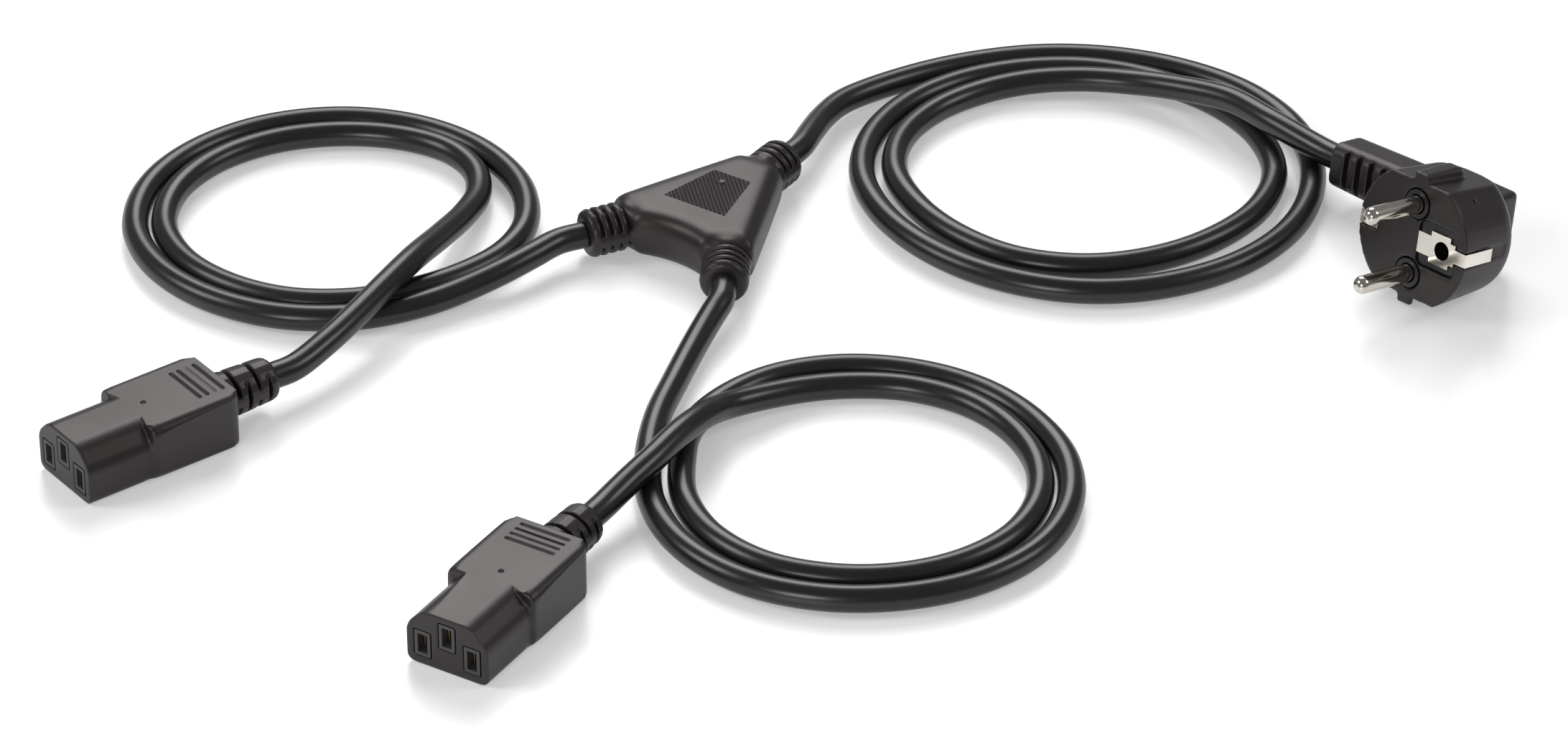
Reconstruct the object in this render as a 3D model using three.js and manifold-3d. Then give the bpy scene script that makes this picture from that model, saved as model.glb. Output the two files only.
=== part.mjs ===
// Power cord splitter: one earthed mains plug, a moulded Y junction and two appliance connectors.
// Millimetres, +Z up, floor at Z = 0. The origin is under the middle of the junction,
// and +X runs along the junction towards the plug's cord.
import * as THREE from "three";
import { mergeVertices } from "three/addons/utils/BufferGeometryUtils.js";
import Module from "manifold-3d";

const wasm = await Module();
wasm.setup();

// Clearance between pieces that seat in each other, how far a cut runs past a surface,
// and how deep a relief is rooted in its body
const gap = 0.3;
const over = 1;
const rooted = 3;

// Cords
const cordDiameter = 7;
const cordSides = 8;
const cordStep = 15;
const floorLift = 0.1;

// Y junction
const junction = {
  thickness: 14,
  edgeRadius: 4.4,
  branchAngle: 30,
  trunkRoot: 11.8,
  trunkReach: 22.3,
  branchRoot: 33,
  branchReach: 43.8,
  neckMargin: 0.3,
  crotchDepth: 2,
};

// Flat sides that stand for a round piece
const reliefSides = 20;
const drumSides = 48;
const rodSides = 24;
const pinSides = 16;
const wireSides = 12;

// Round strain reliefs of the junction
const junctionRelief = {
  radius: 6.5,
  endRadius: 1.6,
  grooves: 4,
  groovePitch: 2.5,
  grooveWidth: 0.9,
  grooveDepth: 1.5,
  webHeight: 2.6,
};

// Appliance connector, seen from its cord end: X runs from the face to the cord
const connector = {
  noseLength: 18.6,
  noseWidth: 23.2,
  height: 15.4,
  noseChamfer: 4.9,
  noseRadius: 2.2,
  bodyLength: 26.6,
  bodyWidth: 25.2,
  bodyRearWidth: 23.2,
  bodyRadius: 2.8,
  bodyRearRadius: 3,
  contactHeight: 5.9,
  contactSpread: 7,
  earthRise: 4,
  gripGrooves: 4,
  gripPitch: 2.25,
  gripWidth: 0.7,
  gripDepth: 0.6,
  gripLength: 14,
  gripInset: 2.4,
  dotDiameter: 1.4,
  dotDepth: 0.4,
  dotInset: 5,
};

// Strain relief of a connector
const connectorRelief = {
  length: 15.8,
  rootRadius: 6.3,
  tipRadius: 5.7,
  endRadius: 1.8,
  axisHeight: 8,
  stations: 4,
  firstStation: 2.6,
  stationPitch: 3.1,
  slotWidth: 1.1,
  slotDepth: 1.6,
  longSlotHalf: 3.9,
  webHalf: 1.3,
};

// Carrier of a connector: three square towers on a back plate
const carrier = {
  slotWidth: 2.7,
  slotHeight: 5.3,
  towerWall: 0.85,
  plateThickness: 4,
  plateMargin: 1.6,
  faceInset: 0,
};

// Female contact: a folded leaf with a crimped tail
const contact = {
  sheet: 0.35,
  width: 4.2,
  mouthInset: 2.4,
  leafLength: 11,
  pinch: 0.45,
  pinchAt: 3.3,
  tailLength: 7,
  barrelRadius: 1.3,
};

// Angled mains plug, built about the middle of its face: X runs out along the pins
const plug = {
  faceRadius: 18.5,
  flatHalf: 15.8,
  flatDraft: 4,
  drumDepth: 22,
  drumDraft: 0.06,
  drumBackRadius: 5,
  railWidth: 4.5,
  railProud: 2.2,
  railLength: 14.4,
  lowerRailLength: 1.8,
  pinSpread: 9.5,
  pinRadius: 2.4,
  pinLength: 19,
  pinShank: 7,
  pinShankRadius: 1.9,
  collarRadius: 3.9,
  earthOffset: 10,
  spineHalf: 9,
  spineFront: 14,
  spineBack: 32.5,
  spineEnd: 7,
  spineEndDraft: 1.5,
  spineRadius: 1.2,
  spineCorner: 2.2,
  sideSlotWidth: 4,
  sideSlotDepth: 1.4,
  sideSlotLength: 16.8,
};

// Strain relief of the plug
const plugRelief = {
  reach: 46.5,
  depthAt: 25,
  rise: 0.2,
  rootHeight: 14.5,
  tipHeight: 12.5,
  rootDepth: 14,
  tipDepth: 13,
  cornerRadius: 4,
  slots: 5,
  slotPitch: 4.3,
  slotWidth: 1.5,
  slotDepth: 2.2,
  firstSlot: 5.5,
};

// Earth plate at the plug's face, its sleeve and the strips along the plug's sides
const earth = {
  sheet: 0.6,
  stripWidth: 3.6,
  stripLength: 10.5,
  sleeveInner: 2.45,
  sleeveWall: 0.6,
  sleeveDepth: 11,
  plateLeft: 1.7,
  plateRight: 14.3,
  tabHalf: 2.9,
  flapLeft: 6,
  flapRight: 12.6,
  flapHalf: 4.3,
  wingHalf: 2.9,
  farTabEnd: 12.2,
};

// Bridge: the hard inner block of the plug, seen round the pins and the earth plate
const bridge = {
  panelLeft: 2,
  panelRight: 14.4,
  panelHalf: 5.9,
  panelRadius: 1.5,
  panelSink: 1,
  plateFront: 5,
  plateThickness: 3,
  plateHalfWidth: 12,
  plateHalfHeight: 13,
};

// Where the pieces lie on the floor
const place = {
  connectorA: { x: -187.3, y: 66.3, turn: -18.4 },
  connectorB: { x: -198.1, y: -58.9, turn: 2.8 },
  plug: { x: 73.4, y: -165.9, turn: 165.6, lean: 10.95, roll: 3.6 },
};

// Loops of the three cords: the middle of each loop, then turning angle, radius and height.
// Leads are points on the way to the loop and from it.
const low = cordDiameter / 2 + floorLift;
const routeA = {
  middle: [-54.4, 85.5],
  before: [[-44.5, 27.4, 6.8], [-54, 30, 6]],
  turns: [
    [260, 52.4, 4.8], [246, 50.4, 3.9], [226, 49.6, low], [202, 49.2, low], [178, 49.2, low],
    [154, 50, low], [130, 51, low], [106, 51, low], [82, 50.4, low], [58, 50.1, low],
    [34, 50.1, low], [10, 50.3, low], [-14, 50.8, low], [-38, 51.6, low], [-60, 51.4, low],
    [-78, 49.2, low], [-96, 45.6, low], [-114, 42.9, low], [-134, 42, low], [-158, 41.6, low],
    [-182, 41.5, low], [-206, 42.4, low], [-230, 43.4, low], [-254, 43.4, low], [-278, 42.9, low],
    [-302, 42.4, low], [-326, 42.5, low], [-348, 43.7, low], [-367, 44.8, low], [-384, 43.5, low],
    [-400, 39.8, 3.8],
  ],
  after: [[-36, 55.5, 5.2], [-51, 51.8, 7.8], [-67, 48.5, 10.5], [-82, 46, 11.2],
    [-97, 44.3, 10.6], [-110, 43.8, 9.4]],
};
const routeB = {
  middle: [-78.4, -98.5],
  before: [[-40.5, -26.6, 6], [-51.5, -29.2, 4.6]],
  turns: [
    [81, 64.9, 3.8], [97, 58.4, low], [115, 54.5, low], [136, 53.6, low], [158, 53.6, low],
    [180, 53.2, low], [202, 52, low], [224, 51.2, low], [246, 51.5, low], [268, 51.7, low],
    [290, 51, low], [312, 50.2, low], [334, 49.2, low], [356, 49.3, low], [378, 49.7, low],
    [400, 50.6, low], [420, 51.1, low], [438, 50.3, low], [456, 49, low], [475, 46, low],
    [496, 45.4, low], [518, 45.2, low], [540, 44.7, low], [562, 43.4, low], [584, 42.8, low],
    [606, 42.9, low], [628, 43.3, low], [650, 43.2, low], [672, 42.8, low], [694, 42.4, low],
    [716, 42.5, low], [738, 42.3, low], [758, 42.2, low], [776, 42.6, 4],
  ],
  after: [[-73.4, -54.4, 6.4], [-85.4, -54.6, 9.7], [-97.4, -55.4, 11.2], [-109.4, -56, 10.6],
    [-119.4, -55.6, 9.3]],
};
const routePlug = {
  middle: [76.1, -64.5],
  before: [[48, 3.6, 6.4], [58, 6, 5.4]],
  turns: [
    [96, 70.6, 4.8], [80, 65.7, 3.9], [62, 61.9, low], [42, 59.8, low], [22, 59, low],
    [2, 59.5, low], [-18, 61, low], [-40, 62, low], [-62, 61.8, low], [-84, 62, low],
    [-106, 61.8, low], [-128, 61.2, low], [-148, 60.4, low], [-168, 58.8, low], [-188, 57.5, low],
    [-210, 57.2, low], [-232, 57.8, low], [-252, 57.4, low], [-272, 56.3, low], [-292, 54.8, low],
    [-312, 52.9, 3.9], [-332, 51.8, 3.9], [-352, 51.2, low], [-374, 50.9, low], [-396, 51.2, low],
    [-418, 51.6, low], [-440, 50.4, low], [-462, 48.8, low], [-484, 48.4, low], [-506, 48.8, low],
    [-528, 48.6, low], [-550, 47.4, low], [-572, 47.4, low], [-594, 49, low], [-614, 49.3, low],
    [-634, 48.4, low], [-652, 47, 3.9], [-670, 45.5, 4.6], [-688, 44.4, 5.2], [-706, 44.1, 6],
    [-724, 44.7, 7.8],
  ],
  after: [[119.2, -85, 10.6], [114.2, -100.5, 11.5]],
};

// Finishes
const looks = {
  moulding: { color: 0x2b282a, roughness: 0.55, metalness: 0 },
  carrier: { color: 0x474446, roughness: 0.6, metalness: 0 },
  bridge: { color: 0x2a282b, roughness: 0.6, metalness: 0 },
  cord: { color: 0x242125, roughness: 0.4, metalness: 0 },
  nickel: { color: 0xcfcac0, roughness: 0.18, metalness: 1 },
  brass: { color: 0xb59a55, roughness: 0.35, metalness: 1 },
};

// A closed geometry as a solid that can be cut and joined
function solid(geometry) {
  const bare = geometry.clone();
  bare.deleteAttribute("normal");
  bare.deleteAttribute("uv");
  const merged = mergeVertices(bare, 1e-4);
  return new wasm.Manifold(new wasm.Mesh({
    numProp: 3,
    vertProperties: Float32Array.from(merged.attributes.position.array),
    triVerts: Uint32Array.from(merged.index.array),
  }));
}

// The triangles of a solid as a geometry again
function geometryOf(body) {
  const mesh = body.getMesh();
  const geometry = new THREE.BufferGeometry();
  geometry.setAttribute("position", new THREE.BufferAttribute(mesh.vertProperties, 3));
  geometry.setIndex(new THREE.BufferAttribute(mesh.triVerts, 1));
  geometry.computeVertexNormals();
  return geometry;
}

function piece(name, geometry, look) {
  const mesh = new THREE.Mesh(geometry, new THREE.MeshStandardMaterial(looks[look]));
  mesh.name = name;
  return mesh;
}

function joined(solids) {
  return solids.reduce((sum, next) => sum.add(next));
}

function radians(degrees) {
  return THREE.MathUtils.degToRad(degrees);
}

function box(x0, x1, y0, y1, z0, z1) {
  const geometry = new THREE.BoxGeometry(x1 - x0, y1 - y0, z1 - z0);
  return solid(geometry.translate((x0 + x1) / 2, (y0 + y1) / 2, (z0 + z1) / 2));
}

// A rod along X
function rod(x0, x1, radius, y = 0, z = 0, sides = rodSides) {
  const geometry = new THREE.CylinderGeometry(radius, radius, x1 - x0, sides);
  return solid(geometry.rotateZ(Math.PI / 2).translate((x0 + x1) / 2, y, z));
}

// A revolved solid about X from a list of [x, radius] that starts and ends on the axis
function turned(profile, sides) {
  const points = profile.map(([x, radius]) => new THREE.Vector2(radius, x));
  return new THREE.LatheGeometry(points, sides).rotateZ(-Math.PI / 2);
}

// Points of a quarter fillet from a full radius at x0 down by r towards the axis
function endFillet(xEnd, radius, r, steps = 3) {
  const points = [];
  for (let i = 0; i <= steps; i += 1) {
    const angle = (i / steps) * (Math.PI / 2);
    points.push([xEnd - r + r * Math.sin(angle), radius - r + r * Math.cos(angle)]);
  }
  return points;
}

// A rectangle with round corners, about its middle
function roundedRect(width, height, radius) {
  const w = width / 2;
  const h = height / 2;
  const shape = new THREE.Shape();
  shape.absarc(w - radius, h - radius, radius, 0, Math.PI / 2);
  shape.absarc(radius - w, h - radius, radius, Math.PI / 2, Math.PI);
  shape.absarc(radius - w, radius - h, radius, Math.PI, Math.PI * 1.5);
  shape.absarc(w - radius, radius - h, radius, Math.PI * 1.5, Math.PI * 2);
  return shape;
}

// A shape drawn in Y and Z, pushed along X from x0 to x1
function alongX(shape, x0, x1, curveSegments = 3) {
  const geometry = new THREE.ExtrudeGeometry(shape, {
    depth: x1 - x0, bevelEnabled: false, curveSegments,
  });
  return geometry.rotateX(Math.PI / 2).rotateZ(Math.PI / 2).translate(x0, 0, 0);
}

// Y junction: the three axes meet at one point, the moulding lies flat on the floor
const branchTurn = radians(junction.branchAngle);
const branchBack = (junction.branchReach - junctionRelief.endRadius) * Math.cos(branchTurn)
  + (junctionRelief.radius - junctionRelief.endRadius) * Math.sin(branchTurn)
  + junctionRelief.endRadius;
const meetX = (branchBack - junction.trunkReach) / 2;
const axisZ = junction.thickness / 2;

// One ribbed relief along X, from inside the body to its end face
function ribbedRelief(root, reach) {
  const { radius, endRadius, grooves, groovePitch, grooveWidth, grooveDepth } = junctionRelief;
  const profile = [[root - rooted, 0], [root - rooted, radius]];
  profile.push(...endFillet(reach, radius, endRadius, 2), [reach, 0]);
  let relief = solid(turned(profile, reliefSides));
  const web = box(root - over, reach, -radius - over, radius + over,
    -junctionRelief.webHeight / 2, junctionRelief.webHeight / 2);
  for (let i = 0; i < grooves; i += 1) {
    const x = root + i * groovePitch;
    const ring = turned([
      [x, radius - grooveDepth], [x, radius + over], [x + grooveWidth, radius + over],
      [x + grooveWidth, radius - grooveDepth], [x, radius - grooveDepth],
    ], reliefSides);
    relief = relief.subtract(solid(ring).subtract(web));
  }
  return relief;
}

function junctionBody() {
  const { trunkRoot, branchRoot, edgeRadius, thickness, crotchDepth, neckMargin } = junction;
  const half = junctionRelief.radius + neckMargin;
  const along = [-Math.cos(branchTurn), Math.sin(branchTurn)];
  const outer = [
    along[0] * branchRoot + Math.sin(branchTurn) * half,
    along[1] * branchRoot + Math.cos(branchTurn) * half,
  ];
  const inner = [
    along[0] * branchRoot - Math.sin(branchTurn) * half,
    along[1] * branchRoot - Math.cos(branchTurn) * half,
  ];
  const shape = new THREE.Shape();
  shape.moveTo(trunkRoot, -half);
  shape.lineTo(trunkRoot, half);
  shape.quadraticCurveTo((trunkRoot + outer[0]) / 2, (half + outer[1]) / 2 + neckMargin, outer[0], outer[1]);
  shape.lineTo(inner[0], inner[1]);
  shape.quadraticCurveTo(inner[0] + crotchDepth * 2, 0, inner[0], -inner[1]);
  shape.lineTo(outer[0], -outer[1]);
  shape.quadraticCurveTo((trunkRoot + outer[0]) / 2, -(half + outer[1]) / 2 - neckMargin, trunkRoot, -half);
  const geometry = new THREE.ExtrudeGeometry(shape, {
    depth: thickness - 2 * edgeRadius,
    bevelThickness: edgeRadius,
    bevelSize: edgeRadius,
    bevelOffset: -edgeRadius,
    bevelSegments: 3,
    curveSegments: 6,
  });
  return solid(geometry.translate(0, 0, edgeRadius - thickness / 2));
}

function makeJunction() {
  const group = new THREE.Group();
  group.position.set(meetX, 0, axisZ);
  const branch = ribbedRelief(junction.branchRoot, junction.branchReach);
  const moulding = joined([
    junctionBody(),
    ribbedRelief(junction.trunkRoot, junction.trunkReach),
    branch.rotate([0, 0, 180 - junction.branchAngle]),
    branch.rotate([0, 0, 180 + junction.branchAngle]),
  ]);
  group.add(piece("junction_moulding", geometryOf(moulding), "moulding"));
  return group;
}

// Appliance connector
function noseShape() {
  const { noseWidth, height, noseChamfer, noseRadius } = connector;
  const half = noseWidth / 2;
  const shape = new THREE.Shape();
  shape.moveTo(half, height - noseChamfer);
  shape.lineTo(half - noseChamfer, height);
  shape.lineTo(noseChamfer - half, height);
  shape.lineTo(-half, height - noseChamfer);
  shape.absarc(noseRadius - half, noseRadius, noseRadius, Math.PI, Math.PI * 1.5);
  shape.absarc(half - noseRadius, noseRadius, noseRadius, Math.PI * 1.5, Math.PI * 2);
  return shape;
}

// Seen from above, the grip narrows towards the cord and has round rear corners
function gripShape() {
  const { noseLength, bodyLength, bodyWidth, bodyRearWidth, bodyRearRadius: r } = connector;
  const rear = noseLength + bodyLength;
  const front = bodyWidth / 2;
  const back = bodyRearWidth / 2;
  const shape = new THREE.Shape();
  shape.moveTo(noseLength, -front);
  shape.lineTo(rear - r, -back);
  shape.absarc(rear - r, r - back, r, -Math.PI / 2, 0);
  shape.absarc(rear - r, back - r, r, 0, Math.PI / 2);
  shape.lineTo(noseLength, front);
  return shape;
}

function slottedRelief() {
  const c = connectorRelief;
  const root = connector.noseLength + connector.bodyLength;
  const end = root + c.length;
  const profile = [[root - rooted, 0], [root - rooted, c.rootRadius], [root, c.rootRadius]];
  profile.push(...endFillet(end, c.tipRadius, c.endRadius), [end, 0]);
  let relief = solid(turned(profile, reliefSides)).translate([0, 0, c.axisHeight]);
  const inner = c.tipRadius - c.slotDepth;
  for (let i = 0; i < c.stations; i += 1) {
    const x = root + c.firstStation + i * c.stationPitch;
    const ring = solid(turned([
      [x, inner], [x, c.rootRadius + over], [x + c.slotWidth, c.rootRadius + over],
      [x + c.slotWidth, inner], [x, inner],
    ], reliefSides)).translate([0, 0, c.axisHeight]);
    const wide = c.rootRadius + over;
    // Odd stations are open above and below, even ones at the two sides
    const keep = i % 2 === 0
      ? box(x - over, x + 2 * over, -wide, wide, c.axisHeight - c.webHalf, c.axisHeight + c.webHalf)
      : box(x - over, x + 2 * over, -c.longSlotHalf, c.longSlotHalf,
        c.axisHeight - wide, c.axisHeight + wide);
    relief = relief.subtract(ring.subtract(keep));
  }
  return relief;
}

// The three towers stand at the line, neutral and earth places
function contactPlaces() {
  const { contactSpread, contactHeight, earthRise } = connector;
  return [
    { name: "line", y: contactSpread, z: contactHeight },
    { name: "neutral", y: -contactSpread, z: contactHeight },
    { name: "earth", y: 0, z: contactHeight + earthRise },
  ];
}

const towerHalfWidth = carrier.slotWidth / 2 + carrier.towerWall;
const towerHalfHeight = carrier.slotHeight / 2 + carrier.towerWall;
const carrierEnd = connector.noseLength - carrier.plateMargin;
const contactStart = carrier.faceInset + contact.mouthInset;
const contactEnd = contactStart + contact.leafLength + contact.tailLength;

function carrierSolid(grow) {
  const solids = contactPlaces().map(({ y, z }) => box(
    carrier.faceInset - (grow > 0 ? over : 0), carrierEnd,
    y - towerHalfWidth - grow, y + towerHalfWidth + grow,
    z - towerHalfHeight - grow, z + towerHalfHeight + grow,
  ));
  const plateFront = carrierEnd - carrier.plateThickness;
  const side = connector.contactSpread + towerHalfWidth + grow;
  solids.push(box(plateFront - grow, carrierEnd + grow, -side, side,
    connector.contactHeight - towerHalfHeight - grow,
    connector.contactHeight + towerHalfHeight + grow));
  return joined(solids);
}

function makeCarrier() {
  let body = carrierSolid(0);
  for (const { y, z } of contactPlaces()) {
    body = body.subtract(box(carrier.faceInset - over, carrierEnd + over,
      y - carrier.slotWidth / 2, y + carrier.slotWidth / 2,
      z - carrier.slotHeight / 2, z + carrier.slotHeight / 2));
  }
  return geometryOf(body);
}

// A folded contact: two leaves that pinch near the mouth, and a crimp barrel behind them
function makeContact(y, z) {
  const half = carrier.slotWidth / 2 - gap;
  const { sheet, pinch, pinchAt, leafLength, barrelRadius } = contact;
  const outline = [
    [0, half], [pinchAt, half - pinch], [leafLength, half],
    [leafLength, -half], [pinchAt, pinch - half], [0, -half],
    [0, sheet - half], [pinchAt, pinch - half + sheet], [leafLength - sheet, sheet - half],
    [leafLength - sheet, half - sheet], [pinchAt, half - pinch - sheet], [0, half - sheet],
  ];
  const shape = new THREE.Shape(outline.map(([a, b]) => new THREE.Vector2(a, b)));
  const leaves = new THREE.ExtrudeGeometry(shape, { depth: contact.width, bevelEnabled: false });
  leaves.translate(contactStart, 0, -contact.width / 2);
  const tail = rod(contactStart + leafLength - sheet / 2, contactEnd, barrelRadius - gap, 0, 0, wireSides);
  return geometryOf(solid(leaves).add(tail).translate([0, y, z]));
}

function makeConnectorMoulding() {
  const c = connector;
  const rear = c.noseLength + c.bodyLength;
  const nose = solid(alongX(noseShape(), 0, c.noseLength + over));
  const section = roundedRect(c.bodyWidth, c.height, c.bodyRadius);
  const grip = solid(alongX(section, c.noseLength, rear)).translate([0, 0, c.height / 2]);
  const outline = new THREE.ExtrudeGeometry(gripShape(), {
    depth: c.height + 2 * over, bevelEnabled: false, curveSegments: 4,
  }).translate(0, 0, -over);
  let body = joined([nose, grip.intersect(solid(outline)), slottedRelief()]);
  for (let i = 0; i < c.gripGrooves; i += 1) {
    const x = rear - c.gripInset - i * c.gripPitch;
    body = body.subtract(box(x - c.gripWidth / 2, x + c.gripWidth / 2,
      -c.gripLength / 2, c.gripLength / 2, c.height - c.gripDepth, c.height + over));
  }
  const dot = new THREE.CylinderGeometry(c.dotDiameter / 2, c.dotDiameter / 2, c.dotDepth + over, wireSides);
  dot.rotateX(Math.PI / 2);
  dot.translate(c.noseLength + c.dotInset, 0, c.height - c.dotDepth + (c.dotDepth + over) / 2);
  body = body.subtract(solid(dot)).subtract(carrierSolid(gap));
  for (const { y, z } of contactPlaces()) {
    body = body.subtract(rod(carrierEnd - over, contactEnd + gap, contact.barrelRadius, y, z, wireSides));
  }
  return geometryOf(body);
}

const connectorExit = connector.noseLength + connector.bodyLength + connectorRelief.length;

function makeConnector(letter, { x, y, turn }) {
  const group = new THREE.Group();
  group.position.set(x, y, 0);
  group.rotation.z = radians(turn);
  group.add(piece(`connector_${letter}_moulding`, makeConnectorMoulding(), "moulding"));
  group.add(piece(`connector_${letter}_carrier`, makeCarrier(), "carrier"));
  for (const { name, y: across, z } of contactPlaces()) {
    group.add(piece(`connector_${letter}_contact_${name}`, makeContact(across, z), "brass"));
  }
  return group;
}

// Mains plug. Its local X points along the pins, Y to the earth hole, Z from pin to pin.
// The drum has flats above and below and a wide round back edge.
function drum() {
  const { faceRadius, flatHalf, drumDepth, drumBackRadius, drumDraft } = plug;
  const back = faceRadius * (1 - drumDraft);
  const fillet = endFillet(drumDepth, back, drumBackRadius, 4).map(([x, radius]) => [-x, radius]);
  const profile = [[-drumDepth, 0], ...fillet.reverse(), [0, faceRadius], [0, 0]];
  const wide = 2 * faceRadius;
  const upper = box(-2 * drumDepth, over, -wide, wide, -2 * wide, 0)
    .rotate([0, -plug.flatDraft, 0]).translate([0, 0, flatHalf]);
  const lower = box(-2 * drumDepth, over, -wide, wide, 0, 2 * wide)
    .rotate([0, plug.flatDraft, 0]).translate([0, 0, -flatHalf]);
  return solid(turned(profile, drumSides)).intersect(upper).intersect(lower);
}

// Section of the relief at a place across the plug, narrower towards its end
function plugReliefSolid() {
  const p = plugRelief;
  const root = plug.spineHalf;
  const geometry = new THREE.ExtrudeGeometry(roundedRect(p.rootDepth, p.rootHeight, p.cornerRadius), {
    depth: p.reach - root, bevelEnabled: false, curveSegments: 4,
  });
  const points = geometry.attributes.position;
  const kx = p.tipDepth / p.rootDepth - 1;
  const ky = p.tipHeight / p.rootHeight - 1;
  for (let i = 0; i < points.count; i += 1) {
    const share = points.getZ(i) / (p.reach - root);
    points.setX(i, points.getX(i) * (1 + kx * share));
    points.setY(i, points.getY(i) * (1 + ky * share));
  }
  geometry.rotateX(Math.PI / 2).translate(-p.depthAt, -root, 0);
  let relief = solid(geometry);
  // Slots open to the front and back, each closed at the top and bottom of the relief
  for (let i = 0; i < p.slots; i += 1) {
    const y = -p.reach + p.firstSlot + i * p.slotPitch;
    for (const side of [-1, 1]) {
      const face = -p.depthAt + (side * p.tipDepth) / 2;
      relief = relief.subtract(box(
        Math.min(face - side * p.slotDepth, face + side * 3 * over),
        Math.max(face - side * p.slotDepth, face + side * 3 * over),
        y - p.slotWidth / 2, y + p.slotWidth / 2, -p.tipHeight / 2 + over, p.tipHeight / 2 - over,
      ));
    }
  }
  return relief.translate([0, 0, p.rise]);
}

function spine() {
  const { spineHalf, spineFront, spineBack, spineEnd, spineEndDraft, spineRadius, faceRadius } = plug;
  const corner = plug.spineCorner;
  const shape = new THREE.Shape();
  shape.moveTo(-spineFront, spineEnd + spineEndDraft);
  shape.lineTo(corner - spineBack, spineEnd);
  shape.quadraticCurveTo(-spineBack, spineEnd, -spineBack, spineEnd - corner);
  shape.lineTo(-spineBack, 2 * corner - faceRadius);
  shape.quadraticCurveTo(-spineBack, -faceRadius, 2 * corner - spineBack, -faceRadius);
  shape.lineTo(-spineFront, -faceRadius);
  const geometry = new THREE.ExtrudeGeometry(shape, {
    depth: 2 * (spineHalf - spineRadius),
    bevelThickness: spineRadius,
    bevelSize: spineRadius,
    bevelOffset: -spineRadius,
    bevelSegments: 3,
    curveSegments: 4,
  });
  return solid(geometry.translate(0, 0, spineRadius - spineHalf));
}

function rails() {
  const { railWidth, railProud, railLength, lowerRailLength, flatHalf } = plug;
  const solids = [];
  for (const [side, length] of [[-1, lowerRailLength], [1, railLength]]) {
    const shape = new THREE.Shape();
    const edge = side * (flatHalf + railProud);
    const round = Math.min(railProud, length / 2);
    shape.moveTo(0, side * (flatHalf - 3 * over));
    shape.lineTo(0, edge);
    shape.lineTo(round - length, edge);
    shape.quadraticCurveTo(-length, edge, -length, edge - side * round);
    shape.lineTo(-length, side * (flatHalf - 3 * over));
    const geometry = new THREE.ExtrudeGeometry(shape, {
      depth: railWidth, bevelEnabled: false, curveSegments: 5,
    });
    solids.push(solid(geometry.rotateX(Math.PI / 2).translate(0, railWidth / 2, 0)));
  }
  return joined(solids);
}

// The bridge, or with a clearance the room that it takes in the moulding
function bridgeSolid(grow) {
  const b = bridge;
  const back = -(b.plateFront + b.plateThickness);
  const outside = grow > 0 ? over : 0;
  const panel = roundedRect(b.panelRight - b.panelLeft + 2 * grow, 2 * (b.panelHalf + grow),
    b.panelRadius + grow);
  return joined([
    solid(alongX(panel, back, -b.panelSink + (grow > 0 ? b.panelSink + over : 0)))
      .translate([0, (b.panelLeft + b.panelRight) / 2, 0]),
    rod(back, outside, plug.collarRadius + grow, 0, plug.pinSpread),
    rod(back, outside, plug.collarRadius + grow, 0, -plug.pinSpread),
    box(back - grow, -b.plateFront + grow, -b.plateHalfWidth - grow, b.plateHalfWidth + grow,
      -b.plateHalfHeight - grow, b.plateHalfHeight + grow),
  ]);
}

const sleeveOuter = earth.sleeveInner + earth.sleeveWall;

function makeBridge() {
  let body = bridgeSolid(0);
  const back = -(bridge.plateFront + bridge.plateThickness) - over;
  for (const side of [-1, 1]) {
    body = body.subtract(rod(back, over, plug.pinRadius + gap, 0, side * plug.pinSpread));
  }
  body = body.subtract(rod(back, over, sleeveOuter + gap, plug.earthOffset, 0));
  return geometryOf(body);
}

function makePin(side) {
  const { pinRadius, pinLength, pinShank, pinShankRadius, pinSpread } = plug;
  const shoulder = -(bridge.plateFront + bridge.plateThickness + gap);
  const back = shoulder - pinShank;
  const profile = [[back, 0], [back, pinShankRadius], [shoulder, pinShankRadius], [shoulder, pinRadius]];
  profile.push(...endFillet(pinLength, pinRadius, pinRadius, 4));
  return turned(profile, pinSides).translate(0, 0, side * pinSpread);
}

// Sheet pieces lie with their outer face flush with the moulding
function makeEarthSocket() {
  const e = earth;
  const hole = plug.earthOffset;
  const front = -gap;
  const back = front - e.sheet;
  const half = e.stripWidth / 2;
  const side = plug.faceRadius - gap;
  const plate = joined([
    box(back, front, e.plateLeft, e.flapLeft + over, -e.tabHalf, e.tabHalf),
    box(back, front, e.flapLeft, e.flapRight, -e.flapHalf, e.flapHalf),
    box(back, front, e.flapRight - over, e.plateRight, -e.wingHalf, e.wingHalf),
    box(back, front, e.plateRight - over, side, -half, half),
    box(-e.stripLength, front, side - e.sheet, side, -half, half),
    rod(-e.sleeveDepth, front, sleeveOuter, hole, 0),
  ]);
  return geometryOf(plate.subtract(rod(-e.sleeveDepth - over, over, e.sleeveInner, hole, 0)));
}

function makeEarthStrip() {
  const e = earth;
  const front = -gap;
  const half = e.stripWidth / 2;
  const side = plug.faceRadius - gap;
  return geometryOf(joined([
    box(front - e.sheet, front, -side, -e.farTabEnd, -half, half),
    box(-e.stripLength, front, -side, e.sheet - side, -half, half),
  ]));
}

// Room in the moulding for the strips, open at the face and along the sides
function stripRoom() {
  const { faceRadius, sideSlotWidth, sideSlotDepth, sideSlotLength } = plug;
  const half = sideSlotWidth / 2;
  const depth = -earth.sheet - 2 * gap;
  return joined([
    box(-sideSlotLength, over, faceRadius - sideSlotDepth, faceRadius + over, -half, half),
    box(depth, over, bridge.panelRight - over, faceRadius + over, -half, half),
    box(-sideSlotLength, over, -faceRadius - over, sideSlotDepth - faceRadius, -half, half),
    box(depth, over, -faceRadius - over, gap - earth.farTabEnd, -half, half),
  ]);
}

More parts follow.
